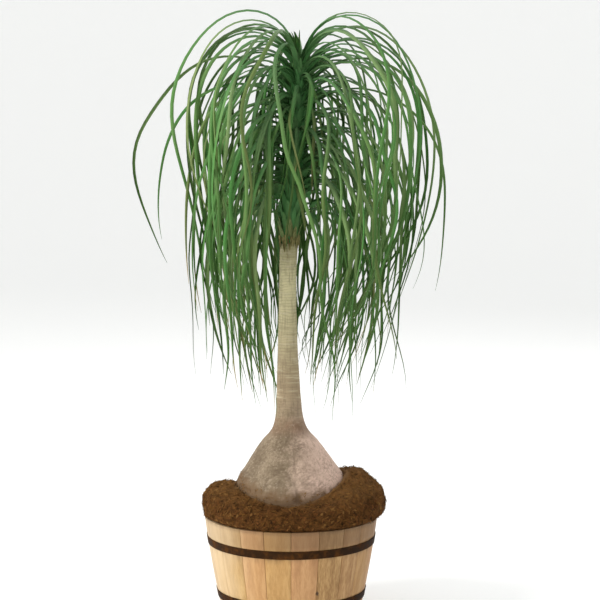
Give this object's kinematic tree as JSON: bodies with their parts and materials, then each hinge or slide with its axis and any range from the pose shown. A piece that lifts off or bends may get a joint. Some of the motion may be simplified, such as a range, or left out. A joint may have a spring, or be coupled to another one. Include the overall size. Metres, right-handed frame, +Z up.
{
  "type": "potted ponytail palm",
  "caption": "House plant with a swollen stem base, a slim trunk and a fountain of long arching leaves, standing in a staved half-barrel tub with mulch and steel hoops.",
  "frame": {"origin": "on the floor, at the middle of the tub's foot, under the middle of the plant's reach", "axes": "+Z up along the trunk; -Y is the front that the picture shows; +X is to its right"},
  "size_m": [0.8846, 0.8476, 1.7403],
  "materials": {
    "stave_wood": "weathered oiled timber",
    "head_wood": "rough sawn timber",
    "hoop_steel": "dark brown rusted steel",
    "potting_soil": "matt crumbly soil",
    "mulch": "matt fibrous bark mulch",
    "bark": "matt, finely cracked bark",
    "leaf": "satin leaf"
  },
  "bodies": {
    "root": {"stave_01": "stave_wood", "stave_02": "stave_wood", "stave_03": "stave_wood", "stave_04": "stave_wood", "stave_05": "stave_wood", "stave_06": "stave_wood", "stave_07": "stave_wood", "stave_08": "stave_wood", "stave_09": "stave_wood", "stave_10": "stave_wood", "stave_11": "stave_wood", "stave_12": "stave_wood", "stave_13": "stave_wood", "stave_14": "stave_wood", "stave_15": "stave_wood", "stave_16": "stave_wood", "stave_17": "stave_wood", "stave_18": "stave_wood", "stave_19": "stave_wood", "stave_20": "stave_wood", "head_board_1": "head_wood", "head_board_2": "head_wood", "head_board_3": "head_wood", "head_board_4": "head_wood", "hoop_upper": "hoop_steel", "rivet_upper_left": "hoop_steel", "rivet_upper_right": "hoop_steel", "hoop_lower": "hoop_steel", "rivet_lower_left": "hoop_steel", "rivet_lower_right": "hoop_steel", "potting_soil": "potting_soil", "mulch": "mulch", "caudex_trunk": "bark", "leaf_crown": "leaf"}
  },
  "joints": []
}
